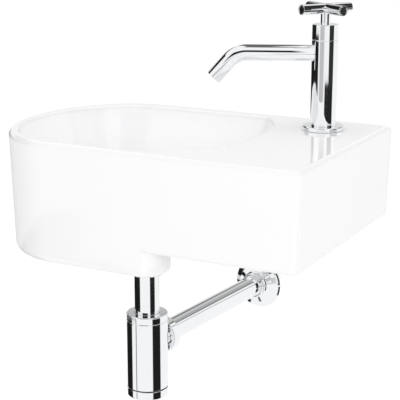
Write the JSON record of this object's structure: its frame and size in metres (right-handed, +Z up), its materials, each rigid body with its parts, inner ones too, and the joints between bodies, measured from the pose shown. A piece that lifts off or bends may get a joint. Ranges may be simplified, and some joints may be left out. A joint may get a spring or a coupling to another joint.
{
  "type": "wall-hung hand basin",
  "caption": "Small wall-hung hand basin with a round left end, a tap deck on the right, a cold tap with a cross handle, an open waste and a chrome bottle trap to the wall.",
  "frame": {"origin": "midway between the two wall-fixing holes, on the basin's back face", "axes": "+Z up, +Y into the wall, +X along the wall to the right as seen from the room"},
  "size_m": [0.4396, 0.4398, 0.4992],
  "materials": {
    "glazed_ceramic": "gloss white glaze",
    "chrome": "polished",
    "brass": "turned",
    "rubber": "matte",
    "disc_ceramic": "lapped",
    "steel": "zinc plated"
  },
  "bodies": {
    "basin_set": {"basin": "glazed_ceramic", "tap_deck_seal": "rubber", "tap_flange": "chrome", "tap_body": "chrome", "tap_tail": "brass", "tap_rubber_washer": "rubber", "tap_steel_washer": "steel", "tap_backnut": "brass", "tap_spout": "chrome", "spout_nozzle": "chrome", "tap_seat_seal": "rubber", "fixed_ceramic_disc": "disc_ceramic", "tap_headwork": "brass", "tap_gland_ring": "rubber", "tap_bonnet": "chrome", "waste_body": "chrome", "waste_cap": "chrome", "waste_upper_seal": "rubber", "waste_lower_seal": "rubber", "waste_backnut": "brass", "trap_union_nut": "chrome", "trap_union_seal": "rubber", "trap_inlet_tube": "chrome"},
    "handle": {"cross_handle": "chrome", "handle_grub_screw": "steel", "tap_spindle": "brass", "moving_ceramic_disc": "disc_ceramic"},
    "trap": {"trap_top_cap": "chrome", "trap_top_seal": "rubber", "trap_body": "chrome", "trap_outlet_nut": "chrome", "trap_outlet_seal": "rubber", "trap_outlet_pipe": "chrome"},
    "cup_seal": {"trap_base_seal": "rubber"},
    "base_cup": {"trap_base_cup": "chrome"},
    "rosette": {"wall_rosette": "chrome"}
  },
  "joints": [
    {"name": "handle_turn", "type": "hinge", "parent": "basin_set", "child": "handle", "pos_m": [0.0975, -0.064, 0.228], "axis": [0, 0, 1], "range_deg": [0, 90]},
    {"name": "trap_turn", "type": "hinge", "parent": "basin_set", "child": "trap", "pos_m": [-0.0913, -0.175, -0.16], "axis": [0, 0, 1], "range_deg": [-20, 20]},
    {"name": "cup_drop", "type": "slide", "parent": "trap", "child": "cup_seal", "axis": [0, 0, -1], "range_m": [0, 0.012]},
    {"name": "cup_unscrew", "type": "hinge", "parent": "cup_seal", "child": "base_cup", "pos_m": [-0.0913, -0.175, -0.26], "axis": [0, 0, -1], "range_deg": [0, 1440]},
    {"name": "rosette_slide", "type": "slide", "parent": "trap", "child": "rosette", "axis": [-0.0872, -0.9962, 0], "range_m": [0, 0.2]}
  ],
  "couplings": [
    {"joint": "cup_drop", "follows": "cup_unscrew", "m_per_rad": 0.00047746}
  ]
}
